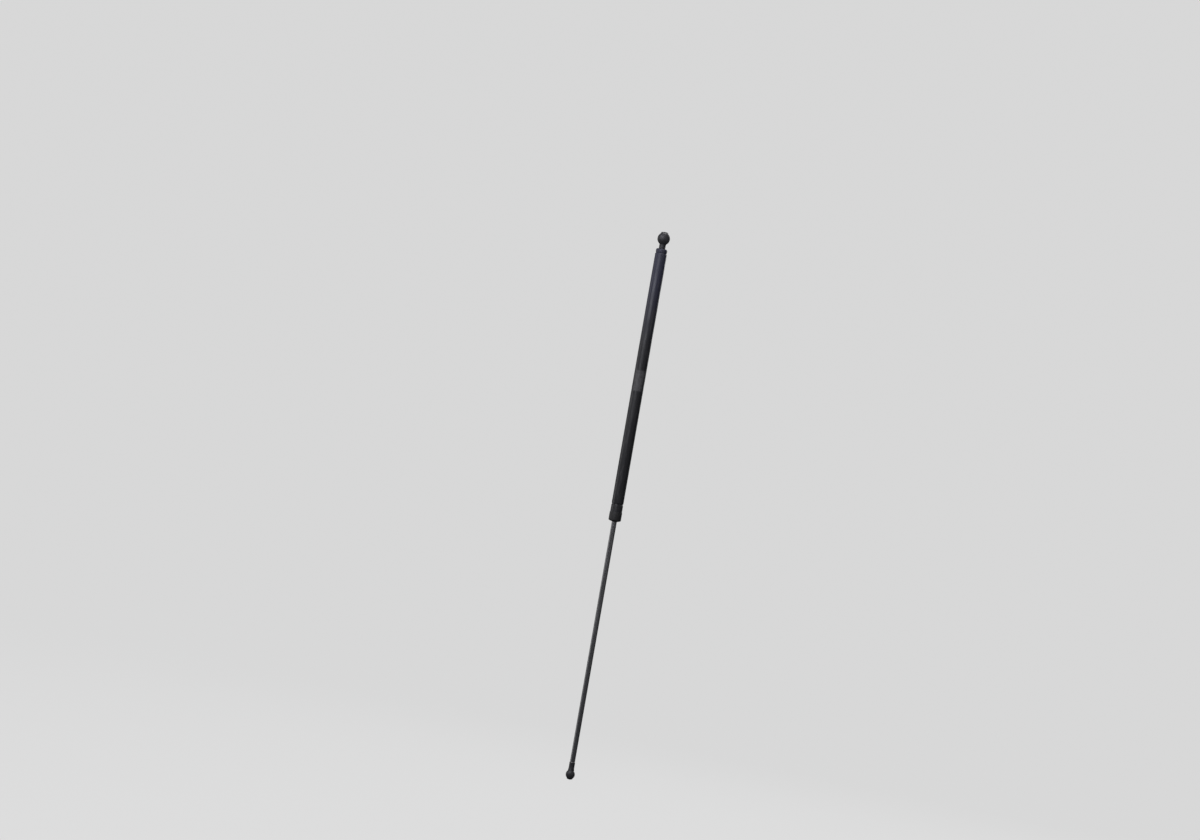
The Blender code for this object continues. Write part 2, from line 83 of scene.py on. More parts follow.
# Hexagons: how much their corners are eased, and how far inside the flats their faces end
CORNER_EASE, FACE_EASE = 0.06, 0.15

# Edge wear, and the painted shade in creases, start where a surface bends this much in a millimetre, and peak
# this much further on
WEAR_AND_SHADE_FROM, WEAR_AND_SHADE_OVER = 0.2, 1.4

# The tube, measured from its own two ends
TUBE_WALL = 1.2
TUBE_EDGE_R = 2.6
TUBE_NECK_R = 9.1
TUBE_MOUTH_R = 5.15
TUBE_LIP_R = 6.2
TUBE_ROLL_R = 1.8
CRIMP_DROP, CRIMP_HALF, CRIMP_SINK = 7.1, 1.7, 0.75
BEAD_RISE, BEAD_HALF, BEAD_SINK = 22.7, 1.8, 0.75

# The dust cap
CAP_POCKET_R, CAP_POCKET_DROP = 6.5, 13.1
CAP_SKIRT_R, CAP_FLOOR_DROP = 9.7, 10.0
CAP_BORE_R = 4.3
CAP_NOSE_R, CAP_NOSE_RISE = 5.0, 2.0
PARTING_LINE = 0.05  # how far the mould's parting line stands proud

# The rod, from its upper end down
ROD_SPIGOT_R = 2.95
ROD_TOP_SPIGOT, ROD_END_SPIGOT = 21.3, 10.7
M6_PITCH, M8_PITCH = 1.0, 1.25

# The two ball joints. Each height is along the stud, from the ball's centre.
JOINTS = {
    "upper": {
        "mount": "upper_ball",
        "outward": 1,
        "cavity_r": 6.75,
        "dome_start": -2.5,
        "flare_r": 5.7,
        "flare_end": 9.6,
        "shank_r": 5.25,
        "hole_r": 4.25,
        "hole_start": 8.4,
        "ball_r": 6.5,
        "neck_r": 3.4,
        "collar_r": 4.6,
        "flange": (10.0, 14.0),
        "thread_r": 3.95,
        "pitch": M8_PITCH,
    },
    "lower": {
        "mount": "lower_ball",
        "outward": -1,
        "cavity_r": 5.22,
        "dome_start": -2.5,
        "flare_r": 5.1,
        "flare_end": 11.0,
        "shank_r": 4.5,
        "hole_r": 3.25,
        "hole_start": 8.5,
        "ball_r": 5.0,
        "neck_r": 2.6,
        "collar_r": 3.8,
        "flange": (8.0, 11.2),
        "thread_r": 2.95,
        "pitch": M6_PITCH,
    },
}
SOCKET_EDGE = 0.45  # the chamfer round a socket's rim
RING_SLACK = 0.25  # how much wider and deeper a groove is than its snap ring
DRILL_SLACK = 0.14  # how much wider a clip's holes are than its wire
DRILL_DEPTH = 0.86  # where the clip's holes end past the ball, as a share of the head's radius
CLIP_STEPS = 6, 8, 40  # along a clip's leg, its knee and its bow
SNAP_RING_TURN = math.radians(326)
FORGE_VOXEL = 0.2  # how finely a socket's forged blank is remeshed

PAINTED_LIGHT_DROP = 210.0  # painted light: how far down from the tube's top its colour is painted lighter

# The tube's worn patch, where a sticker used to be: its top edge below the tube's top, its
# length and its half width
PATCH_DROP, PATCH_LENGTH, PATCH_HALF = 198.0, 33.0, 7.2

# The floor, under the strut's lower end
FLOOR_DROP = 250.0
FLOOR_GLOW = 0.68

# The camera, in metres and degrees: where the strut stands in its view
LEAN = 9.9
VIEW_WIDTH_M = 1.92
RIGHT_OF_CENTRE_M, BELOW_CENTRE_M = 0.0272, 0.1386
LENS, SENSOR = 120.0, 36.0


# ---------------------------------------------------------------- shapes


def extent(node):
    """The lowest and highest corners of a CAD node."""
    low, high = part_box(node)
    return low / MM, high / MM


def ball_centre(joint):
    """The centre of a ball joint, which the record gives as a mount."""
    mounts = {mount["name"]: mount for mount in frame["record"]["mounts"]}
    return Vector(mounts[joint["mount"]]["pos_m"]) / MM


def rounded(corners):
    """A profile whose corners (radius, height, fillet) are each rounded off by their own fillet."""
    points = []
    for i, (radius, height, fillet) in enumerate(corners):
        here = Vector((radius, height))
        if not fillet:
            points.append((radius, height))
            continue
        before = (Vector(corners[i - 1][:2]) - here).normalized()
        after = (Vector(corners[(i + 1) % len(corners)][:2]) - here).normalized()
        half = before.angle(after) / 2
        centre = (before + after).normalized() * fillet / math.sin(half)
        spoke = before * fillet / math.tan(half) - centre
        last = after * fillet / math.tan(half) - centre
        sweep = math.atan2(spoke.cross(last), spoke.dot(last))
        for k in range(FILLET_STEPS + 1):
            angle = sweep * k / FILLET_STEPS
            turned = Vector((
                spoke.x * math.cos(angle) - spoke.y * math.sin(angle),
                spoke.x * math.sin(angle) + spoke.y * math.cos(angle),
            ))
            points.append(tuple(here + centre + turned))
    return points


def rolled(height, half, sink, above, below, steps=16):
    """A groove rolled into a tube whose radius is above and below on its two sides."""
    points = []
    for i in range(steps + 1):
        part = i / steps
        radius = above + (below - above) * part - sink * (0.5 - 0.5 * math.cos(2 * math.pi * part))
        points.append((radius, height + half * (1 - 2 * part)))
    return points


def thread(major, pitch, height, share=1.0):
    """The radius of a right-hand metric thread, as a function of the angle, at this height."""
    depth = THREAD_DEPTH * pitch * share

    def radius(angles):
        phase = (height / pitch - angles / (2 * math.pi)) % 1
        flank = np.clip(np.abs(phase - 0.5) * FLANK_SLOPE - ROOT_FLAT, 0, 1)
        return major - depth * (1 - flank)

    return radius


def threaded(major, pitch, high, low):
    """Rings of a thread that runs from high down to low, with a chamfer at its high end and a
    runout at its low end."""
    steps = round((high - low) / pitch * THREAD_STEPS)
    rings = []
    for i in range(steps + 1):
        height = high - (high - low) * i / steps
        chamfer = major - max(0, 0.7 * pitch - (high - height))
        share = min(1, (height - low) / pitch)
        rings.append((below_both(thread(major, pitch, height, share), chamfer), height))
    return rings


def below_both(radius, limit):
    """The smaller of a radius function and a limit, so that a chamfer can cut a thread or hexagon."""
    return lambda angles: np.minimum(radius(angles), limit)


def hexagon(across):
    """The radius of a hexagon as a function of the angle, with flats at angle 0 and its corners eased."""

    def radius(angles):
        sixth = math.pi / 3
        turned = (angles + sixth / 2) % sixth - sixth / 2
        return np.minimum(across / 2 / np.cos(turned), across / 2 / math.cos(sixth / 2) - CORNER_EASE)

    return radius


def hexagon_rings(across, high, low):
    """Rings of a hexagon between two heights, with its corners turned off at 30 degrees at both."""
    corner = across / 2 / math.cos(math.pi / 6)
    flat = across / 2 - FACE_EASE
    drop = (corner - flat) * math.tan(math.radians(30))
    shape, steps = hexagon(across), 5
    shares = [i / steps for i in range(steps + 1)]
    limits = [below_both(shape, flat + (corner - flat) * share) for share in shares]
    upper = [(limit, high - drop * share) for limit, share in zip(limits, shares)]
    lower = [(limit, low + drop * share) for limit, share in zip(limits, shares)]
    return upper + lower[::-1]


def surface(name, rings, turn=AXIS_Z, centre=(0, 0, 0), sides=FINE, hollow=False):
    """A mesh of rings round an axis, running down its outer side. A ring is (radius, height), and
    its radius can be a function of the angle. It starts and ends on the axis, or where it is
    hollow its last ring joins its first. Each point stores as grain how far along the profile it
    lies, because a lathe's marks run across that."""
    angles = np.arange(sides) * (2 * math.pi / sides)
    points, grain, rows = [], [], []
    travelled, last = 0.0, None
    for radius, height in rings:
        radii = radius(angles) if callable(radius) else np.full(sides, float(radius))
        here = (float(radii.mean()), height)
        travelled += math.dist(here, last) if last else 0.0
        last = here
        count = 1 if here[0] == 0 else sides
        rows.append(range(len(points), len(points) + count))
        for k in range(count):
            point = (radii[k] * math.cos(angles[k]), radii[k] * math.sin(angles[k]), height)
            points.append((turn @ Vector(point) + Vector(centre)) * MM)
        grain += [travelled] * count
    pairs = list(zip(rows, rows[1:]))
    if hollow:
        pairs.append((rows[-1], rows[0]))
    faces = []
    for above, below in pairs:
        for i in range(sides):
            j = (i + 1) % sides
            corners = [above[i % len(above)], below[i % len(below)]]
            corners += [below[j % len(below)], above[j % len(above)]]
            faces.append(list(dict.fromkeys(corners)))
    mesh = bpy.data.meshes.new(name)
    mesh.from_pydata(points, [], faces)
    mesh.attributes.new("grain", "FLOAT", "POINT").data.foreach_set("value", grain)
    return mesh


def wire(name, path, radius, sides=16):
    """A piece of round wire that lies in a plane across the studs, with eased ends. Each point
    stores its place round the wire as grain, because drawing marks run along a wire."""
    path = [Vector(point) for point in path]
    ends = [(0.0, 0.0), (0.15 * radius, 0.6), (0.5 * radius, 0.9), (radius, 1.0)]
    first = (path[1] - path[0]).normalized()
    last = (path[-1] - path[-2]).normalized()
    stations = [(path[0] + first * along, share) for along, share in ends]
    stations += [(point, 1.0) for point in path[1:-1]]
    stations += [(path[-1] - last * along, share) for along, share in reversed(ends)]
    points, grain, rows = [], [], []
    for i, (place, share) in enumerate(stations):
        ahead = stations[min(i + 1, len(stations) - 1)][0] - stations[max(i - 1, 0)][0]
        side = ahead.normalized().cross(Vector((0, 1, 0)))
        count = 1 if share == 0 else sides
        rows.append(range(len(points), len(points) + count))
        for k in range(count):
            angle = 2 * math.pi * k / sides
            spoke = side * math.cos(angle) + Vector((0, 1, 0)) * math.sin(angle)
            points.append((place + spoke * radius * share) * MM)
            grain.append(radius * 4 * abs(k / sides - 0.5))
    faces = []
    for near, far in zip(rows, rows[1:]):
        for i in range(sides):
            j = (i + 1) % sides
            corners = [near[i % len(near)], near[j % len(near)]]
            corners += [far[j % len(far)], far[i % len(far)]]
            faces.append(list(dict.fromkeys(corners)))
    mesh = bpy.data.meshes.new(name)
    mesh.from_pydata(points, [], faces)
    mesh.attributes.new("grain", "FLOAT", "POINT").data.foreach_set("value", grain)
    return mesh


def scene_object(name, mesh):
    made = bpy.data.objects.new(name, mesh)
    bpy.context.collection.objects.link(made)
    return made


def facing_out(mesh):
    """Turns a closed mesh right side out, by the sign of its volume as one triangle a face gives it."""
    corners = [mesh.vertices[i].co for face in mesh.polygons for i in face.vertices[:3]]
    triples = zip(corners[::3], corners[1::3], corners[2::3])
    if sum(a.dot(b.cross(c)) for a, b, c in triples) < 0:
        mesh.flip_normals()


def mark_edges(mesh):
    """Stores at each point how sharply the surface folds there, from 0 to 1: outwards as edge_wear
    and inwards as crease."""
    count, loops = len(mesh.polygons), len(mesh.loops)
    normals, centres = np.empty(count * 3), np.empty(count * 3)
    mesh.polygons.foreach_get("normal", normals)
    mesh.polygons.foreach_get("center", centres)
    normals, centres = normals.reshape(-1, 3), centres.reshape(-1, 3) / MM
    totals, loop_edge = np.empty(count, int), np.empty(loops, int)
    mesh.polygons.foreach_get("loop_total", totals)
    mesh.loops.foreach_get("edge_index", loop_edge)
    loop_face = np.repeat(np.arange(count), totals)
    order = np.argsort(loop_edge, kind="stable")
    edges, firsts, uses = np.unique(loop_edge[order], return_index=True, return_counts=True)
    edges, firsts = edges[uses == 2], firsts[uses == 2]
    one, other = loop_face[order[firsts]], loop_face[order[firsts + 1]]
    fold = np.arccos(np.clip((normals[one] * normals[other]).sum(1), -1, 1))
    across = centres[other] - centres[one]
    curve = fold / np.maximum(np.linalg.norm(across, axis=1), 0.02)
    outward = (across * normals[one]).sum(1) < 0
    ends = np.empty(len(mesh.edges) * 2, int)
    mesh.edges.foreach_get("vertices", ends)
    ends = ends.reshape(-1, 2)[edges]
    for name, chosen in (("edge_wear", outward), ("crease", ~outward)):
        values = np.zeros(len(mesh.vertices))
        for side in (0, 1):
            np.maximum.at(values, ends[chosen, side], curve[chosen])
        share = np.clip((values - WEAR_AND_SHADE_FROM) / WEAR_AND_SHADE_OVER, 0, 1).astype(np.float32)
        mesh.attributes.new(name, "FLOAT", "POINT").data.foreach_set("value", share)


def show(name, mesh, body, slot, nodes, sharp=38):
    """Finishes a piece that stands for these CAD nodes: its shading, its body and its material."""
    mark_edges(mesh)
    mesh.shade_smooth()
    mesh.set_sharp_from_angle(angle=math.radians(sharp))
    made = scene_object(name, mesh)
    made.data.materials.append(FINISHES[slot])
    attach(made, body)
    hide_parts(*nodes)
    return made


def applied(made):
    """The mesh that an object's modifiers make."""
    graph = bpy.context.evaluated_depsgraph_get()
    return bpy.data.meshes.new_from_object(made.evaluated_get(graph))


# ---------------------------------------------------------------- pieces


def make_tube():
    """The pressure tube: a rolled edge and crimp at its closed end, a bead over the seal washer
    and a rolled lip at its open end."""
    low, high = extent("pressure_tube")
    outer, top, end = high.x, high.z, low.z
    crimp = rolled(top - CRIMP_DROP, CRIMP_HALF, CRIMP_SINK, TUBE_NECK_R, outer)
    bead = rolled(end + BEAD_RISE, BEAD_HALF, BEAD_SINK, outer, outer)
    edge = rounded([(TUBE_MOUTH_R, top, 0.25), (TUBE_NECK_R, top, TUBE_EDGE_R), (TUBE_NECK_R, end, 0)])
    lip = rounded([
        (outer, top, 0),
        (outer, end, TUBE_ROLL_R),
        (TUBE_LIP_R, end, 0.3),
        (TUBE_LIP_R, end + TUBE_WALL, 0.3),
        (outer - TUBE_WALL, end + TUBE_WALL, 0.6),
        (outer - TUBE_WALL, top, 0),
    ])
    inner = [(radius - TUBE_WALL, height) for radius, height in reversed(crimp + bead)]
    roof = rounded([
        (TUBE_NECK_R - TUBE_WALL, end, 0),
        (TUBE_NECK_R - TUBE_WALL, top - TUBE_WALL, TUBE_EDGE_R - TUBE_WALL),
        (TUBE_MOUTH_R, top - TUBE_WALL, 0.25),
        (TUBE_MOUTH_R, top, 0),
    ])
    rings = edge[:-1] + crimp + bead + lip[1:-1] + inner + roof[1:-1]
    mesh = surface("pressure_tube_drawn", rings, hollow=True)
    show("pressure_tube_drawn", mesh, "cylinder", "black_paint", ["pressure_tube"])


def parting(radius):
    """A turned radius with the two thin ridges where a mould's halves meet."""
    return lambda angles: radius + PARTING_LINE * (np.abs(np.sin(angles)) > 0.999)


def make_dust_cap():
    """The moulded cap over the tube's end, with a shallow cone round the rod."""
    low, high = extent("dust_cap")
    outer, top, end = high.x - PARTING_LINE, high.z, low.z
    outside = rounded([
        (CAP_SKIRT_R, top, 0.12),
        (outer, top, 0.15),
        (outer, end + CAP_NOSE_RISE, 1.6),
        (CAP_NOSE_R, end + 0.1, 0.5),
        (CAP_BORE_R, end, 0.12),
        (CAP_BORE_R, top - CAP_POCKET_DROP, 0.1),
        (CAP_POCKET_R, top - CAP_POCKET_DROP, 0.1),
        (CAP_POCKET_R, top - CAP_FLOOR_DROP, 0.1),
        (CAP_SKIRT_R, top - CAP_FLOOR_DROP, 0.2),
    ])
    rings = [(parting(radius) if radius > CAP_NOSE_R + 0.6 else radius, height) for radius, height in outside]
    mesh = surface("dust_cap_moulded", rings, hollow=True)
    show("dust_cap_moulded", mesh, "cylinder", "cap_plastic", ["dust_cap"])


def make_rod():
    """The ground rod between its two threaded spigots."""
    low, high = extent("piston_rod")
    shoulder, foot = high.z - ROD_TOP_SPIGOT, low.z + ROD_END_SPIGOT
    rings = [(0, high.z)] + threaded(ROD_SPIGOT_R, M6_PITCH, high.z, shoulder + 1.0)
    body = rounded([
        (ROD_SPIGOT_R, shoulder, 0.2),
        (high.x - 0.4, shoulder, 0.1),
        (high.x, shoulder - 0.4, 0.2),
        (high.x, foot + 0.45, 0.25),
        (high.x - 0.45, foot, 0.12),
        (ROD_SPIGOT_R, foot, 0.2),
    ])
    spigot = threaded(ROD_SPIGOT_R, M6_PITCH, -low.z, -foot + 1.0)
    rings += body + [(radius, -height) for radius, height in reversed(spigot)] + [(0, low.z)]
    mesh = surface("piston_rod_ground", rings, sides=COARSE)
    show("piston_rod_ground", mesh, "rod", "dark_rod", ["piston_rod"])


def forged_blank(joint, low, high, centre, way):
    """A socket before machining: its domed head and its shank, grown together."""
    head_r = high.x
    dome = [(0, high.y), (head_r - SOCKET_EDGE, high.y), (head_r, high.y - SOCKET_EDGE)]
    for i in range(DOME_STEPS):
        angle = math.pi / 2 * i / DOME_STEPS
        height = joint["dome_start"] + (low.y - joint["dome_start"]) * math.sin(angle)
        dome.append((head_r * math.cos(angle), height))
    dome.append((0, low.y))
    end = max(centre.z - low.z, high.z - centre.z)
    start = joint["cavity_r"] - 1
    shank = rounded([
        (0, -start, 0),
        (joint["flare_r"], -start, 0),
        (joint["flare_r"], -head_r * 0.8, 0.8),
        (joint["shank_r"], -joint["flare_end"], 1.5),
        (joint["shank_r"], -end, 0.4),
        (0, -end, 0),
    ])
    blank = scene_object("head", surface("head", dome, AXIS_Y, centre))
    other = scene_object("shank", surface("shank", shank, way, centre))
    union = blank.modifiers.new("shank", "BOOLEAN")
    union.object, union.operation, union.solver = other, "UNION", "MANIFOLD"
    remesh = blank.modifiers.new("forge", "REMESH")
    remesh.mode, remesh.voxel_size = "VOXEL", FORGE_VOXEL * MM
    smooth = blank.modifiers.new("ease", "SMOOTH")
    smooth.factor, smooth.iterations = 0.5, 8
    mesh = applied(blank)
    for used in (blank, other):
        bpy.data.objects.remove(used)
    return mesh


def cavity_cut(side, rim):
    """The rings of a socket's cavity: its flared mouth, its groove for the snap ring and its seat."""
    joint = JOINTS[side]
    cavity_r, centre = joint["cavity_r"], ball_centre(joint)
    ring_low, ring_high = extent(f"{side}_snap_ring")
    groove_y = (ring_low.y + ring_high.y) / 2
    groove_half = (ring_high.y - ring_low.y) / 2 + RING_SLACK
    groove_r = ring_high.z - centre.z + RING_SLACK
    rings = rounded([
        (0, rim + 1, 0),
        (cavity_r + 1.6, rim + 1, 0),
        (cavity_r, rim - 0.6, 0.2),
        (cavity_r, groove_y + groove_half, 0.1),
        (groove_r, groove_y + groove_half, 0.15),
        (groove_r, groove_y - groove_half, 0.15),
        (cavity_r, groove_y - groove_half, 0.1),
    ])
    for i in range(SEAT_STEPS):
        angle = math.pi / 2 * i / SEAT_STEPS
        rings.append((cavity_r * math.cos(angle), -cavity_r * math.sin(angle)))
    return rings + [(0, -cavity_r)]


def socket_cuts(side, low, high, centre, way):
    """What machining takes out of a socket: the cavity, the threaded hole, the two cross holes for
    the safety clip and all that stands past the rim."""
    joint, rim = JOINTS[side], high.y
    cuts = [surface("cavity", cavity_cut(side, rim), AXIS_Y, centre)]
    end = max(centre.z - low.z, high.z - centre.z)
    hole_r, start, past = joint["hole_r"], joint["hole_start"], end + 0.4
    hole = [(0, -start), (hole_r, -start), (hole_r, 0.5 - end), (hole_r + 0.9, -past), (0, -past)]
    cuts.append(surface("hole", hole, way, centre))
    clip_low, clip_high = extent(f"{side}_clip")
    wire_r = (clip_high.y - clip_low.y) / 2
    drill_r, entry, stop = wire_r + DRILL_SLACK, high.x + 1, -high.x * DRILL_DEPTH
    for sign in (-1, 1):
        place = (sign * (clip_high.x - wire_r), clip_low.y + wire_r, centre.z)
        drill = [(0, entry), (drill_r, entry), (drill_r, stop), (0, stop)]
        cuts.append(surface("drill", drill, way, place, sides=32))
    reach = Vector((high.x * 4, high.x * 4, high.x * 8))
    corners = [Vector((x, y, z)) * reach for x in (-1, 1) for y in (0, 1) for z in (-1, 1)]
    sides = [(0, 1, 3, 2), (4, 6, 7, 5), (0, 4, 5, 1), (2, 3, 7, 6), (0, 2, 6, 4), (1, 5, 7, 3)]
    front = bpy.data.meshes.new("front")
    front.from_pydata([(Vector((0, rim, centre.z)) + corner) * MM for corner in corners], [], sides)
    return cuts + [front]


def make_socket(side):
    """A forged and machined ball socket."""
    joint, node = JOINTS[side], f"{side}_socket"
    low, high = extent(node)
    centre = ball_centre(joint)
    way = AXIS_Z if joint["outward"] > 0 else Matrix.Rotation(math.pi, 3, "X")
    blank = scene_object("blank", forged_blank(joint, low, high, centre, way))
    helpers = []
    for cut in socket_cuts(side, low, high, centre, way):
        facing_out(cut)
        tool = scene_object(cut.name, cut)
        helpers.append(tool)
        step = blank.modifiers.new(cut.name, "BOOLEAN")
        step.object, step.operation, step.solver = tool, "DIFFERENCE", "MANIFOLD"
    mesh = applied(blank)
    for used in [blank, *helpers]:
        bpy.data.objects.remove(used)
    grain = []
    for point in mesh.vertices:
        place = point.co / MM - centre
        along_shank = -joint["outward"] * place.z
        on_shank = min(1, max(0, (along_shank - high.x) / 2))
        round_head = math.hypot(place.x, place.z) + place.y
        grain.append(round_head * (1 - on_shank) + along_shank * on_shank)
    mesh.attributes["grain"].data.foreach_set("value", grain)
    mesh.materials.clear()  # the cuts leave an empty slot
    body = "cylinder" if side == "upper" else "rod"
    show(f"{side}_socket_forged", mesh, body, "black_steel", [node], sharp=45)


def make_stud(side):
    """A ball stud: the ball on its neck, a hexagon flange and a threaded shank."""
    joint, node = JOINTS[side], f"{side}_ball_stud"
    low, high = extent(node)
    centre = ball_centre(joint)
    ball_r, neck_r, collar_r = joint["ball_r"], joint["neck_r"], joint["collar_r"]
    flange_low, flange_high = joint["flange"]
    across, end = 2 * high.x, high.y
    undercut_r = joint["thread_r"] - 0.6
    rings = [(0, end)] + threaded(joint["thread_r"], joint["pitch"], end, flange_high + 0.9)
    rings += rounded([
        (undercut_r, flange_high + 0.7, 0),
        (undercut_r, flange_high, 0.25),
        (across / 2 - 0.4, flange_high, 0),
    ])
    rings += hexagon_rings(across, flange_high, flange_low)
    leave = math.acos(neck_r / ball_r)
    rings += rounded([
        (across / 2 - 0.4, flange_low, 0),
        (collar_r, flange_low, 0.3),
        (neck_r, flange_low - 1.2, 0.8),
        (neck_r, ball_r * math.sin(leave) + 0.05, 0),
    ])
    for i in range(BALL_STEPS):
        angle = leave - (leave + math.pi / 2) * i / BALL_STEPS
        rings.append((ball_r * math.cos(angle), ball_r * math.sin(angle)))
    rings.append((0, -ball_r))
    mesh = surface(node, rings, AXIS_Y, centre)
    show(f"{side}_ball_stud_turned", mesh, f"{side}_stud", "zinc_steel", [node], sharp=30)


def make_washer(side):
    """A stamped washer: rounded where the punch went in, sharp where it came out."""
    node = f"{side}_stud_washer"
    low, high = extent(node)
    hole_r = JOINTS[side]["thread_r"] + 0.3
    rings = rounded([
        (hole_r, high.y, 0.08),
        (high.x, high.y, 0.08),
        (high.x, low.y, 0.45),
        (hole_r, low.y, 0.35),
    ])
    centre = Vector((0, 0, ball_centre(JOINTS[side]).z))
    mesh = surface(node, rings, AXIS_Y, centre, hollow=True)
    show(f"{side}_washer_stamped", mesh, f"{side}_stud", "zinc_steel", [node])


def make_nut(side):
    """A hexagon nut with both faces chamfered and its thread countersunk."""
    node, joint = f"{side}_stud_nut", JOINTS[side]
    low, high = extent(node)
    bore, sink_r, sink = joint["thread_r"] + 0.25, joint["thread_r"] + 0.8, 0.5
    length = high.y - low.y - 2 * sink
    rings = [(sink_r, high.y)] + hexagon_rings(2 * high.x, high.y, low.y)
    rings += [(sink_r, low.y), (bore, low.y + sink)]
    steps = THREAD_STEPS * round(length / joint["pitch"])
    for i in range(steps + 1):
        height = low.y + sink + length * i / steps
        ease = min(1, 3 * i / steps, 3 * (steps - i) / steps)
        shape = thread(bore + 0.45 * joint["pitch"] * ease, joint["pitch"], height, 0.75 * ease)
        rings.append((shape, height))
    rings.append((bore, high.y - sink))
    centre = Vector((0, 0, ball_centre(joint).z))
    mesh = surface(node, rings, AXIS_Y, centre, hollow=True)
    show(f"{side}_nut_cut", mesh, f"{side}_stud", "zinc_steel", [node], sharp=30)


def make_clip(side):
    """A safety clip: two legs through the socket behind the ball, joined by a bow over the head."""
    node, joint = f"{side}_clip", JOINTS[side]
    low, high = extent(node)
    centre, outward = ball_centre(joint), joint["outward"]
    radius = (high.y - low.y) / 2
    leg_x, y = high.x - radius, low.y + radius
    above, under = (high.z - centre.z, centre.z - low.z)[::outward]
    bow_r, leg_end = above - radius, -under
    corner = math.acos(leg_x / bow_r)
    bend = 1.6 * radius / bow_r
    knee = Vector((leg_x, bow_r * math.sin(corner)))
    before = knee - Vector((0, bow_r * bend))
    arc, (leg_steps, knee_steps, bow_steps) = [], CLIP_STEPS
    for i in range(bow_steps + 1):
        angle = corner + bend + (math.pi - 2 * corner - 2 * bend) * i / bow_steps
        arc.append(Vector((bow_r * math.cos(angle), bow_r * math.sin(angle))))
    half = []
    for i in range(leg_steps + 1):
        half.append(Vector((leg_x, leg_end + (before.y - leg_end) * i / leg_steps)))
    for i in range(1, knee_steps):
        part = i / knee_steps
        half.append(before * (1 - part) ** 2 + knee * 2 * part * (1 - part) + arc[0] * part**2)
    outline = half + arc + [Vector((-point.x, point.y)) for point in reversed(half)]
    path = [(point.x, y, centre.z + outward * point.y) for point in outline]
    mesh = wire(node, path, radius)
    facing_out(mesh)
    show(f"{side}_clip_bent", mesh, f"{side}_safety_clip", "spring_steel", [node])


def make_snap_ring(side):
    """The split wire ring that the ball snaps past."""
    node = f"{side}_snap_ring"
    low, high = extent(node)
    centre = ball_centre(JOINTS[side])
    radius = (high.y - low.y) / 2
    ring_r, y, steps = high.z - centre.z - radius, low.y + radius, 96
    path = []
    for i in range(steps + 1):
        angle = SNAP_RING_TURN * (i / steps - 0.5)
        path.append((ring_r * math.sin(angle), y, centre.z + ring_r * math.cos(angle)))
    mesh = wire(node, path, radius)
    facing_out(mesh)
    show(f"{side}_snap_ring_bent", mesh, f"{side}_ring", "spring_steel", [node])


# ---------------------------------------------------------------- materials


